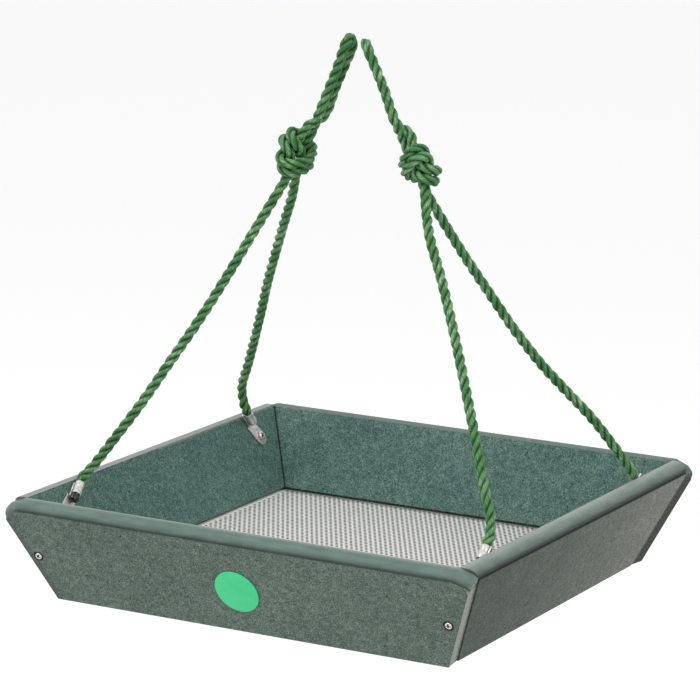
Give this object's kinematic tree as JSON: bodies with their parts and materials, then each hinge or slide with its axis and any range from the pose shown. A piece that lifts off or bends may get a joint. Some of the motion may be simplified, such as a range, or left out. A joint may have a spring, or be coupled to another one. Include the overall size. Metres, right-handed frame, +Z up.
{
  "type": "hanging tray bird feeder",
  "caption": "Square hanging bird tray: flared plastic boards round a perforated metal floor, hung from knotted rope bridles crimped into metal lugs.",
  "frame": {"origin": "middle of the tray's footprint, at the level of the boards' bottom edges", "axes": "+Z up, -Y out of the front board that carries the round label, +X to the right along the front board"},
  "size_m": [0.31, 0.3122, 0.335],
  "materials": {
    "board": "dark grey-green recycled plastic with a fine mottled skin and a smoother machined rim",
    "screen": "pale grey powder coat on perforated sheet",
    "label": "bright green vinyl, bare",
    "steel": "bright zinc",
    "lug": "tinned metal, satin",
    "rope": "green three-strand twisted rope with shiny fibres"
  },
  "bodies": {
    "tray": {"front_board": "board", "back_board": "board", "left_board": "board", "right_board": "board", "screen_floor": "screen", "round_label": "label", "corner_screw_front_left": "steel", "corner_screw_back_left": "steel", "corner_screw_front_right": "steel", "corner_screw_back_right": "steel", "lug_screw_front_left": "steel", "lug_screw_back_left": "steel", "lug_screw_front_right": "steel", "lug_screw_back_right": "steel", "lug_front_left": "lug", "lug_back_left": "lug", "lug_front_right": "lug", "lug_back_right": "lug", "rope_foot_front_left": "rope", "rope_foot_back_left": "rope", "rope_foot_front_right": "rope", "rope_foot_back_right": "rope"},
    "left_bridle": {"rope_leg_front_left": "rope", "rope_leg_back_left": "rope", "rope_loop_left": "rope", "rope_knot_left": "rope"},
    "right_bridle": {"rope_leg_front_right": "rope", "rope_leg_back_right": "rope", "rope_loop_right": "rope", "rope_knot_right": "rope"}
  },
  "joints": [
    {"name": "left_bridle_swing", "type": "hinge", "parent": "tray", "child": "left_bridle", "pos_m": [-0.13885, 0.00325, 0.068], "axis": [-0.0047, -0.9995, -0.0305], "range_deg": [0, 95]},
    {"name": "right_bridle_swing", "type": "hinge", "parent": "tray", "child": "right_bridle", "pos_m": [0.13805, -0.00065, 0.0671], "axis": [0.021, 0.9998, -0.0032], "range_deg": [0, 95]}
  ]
}
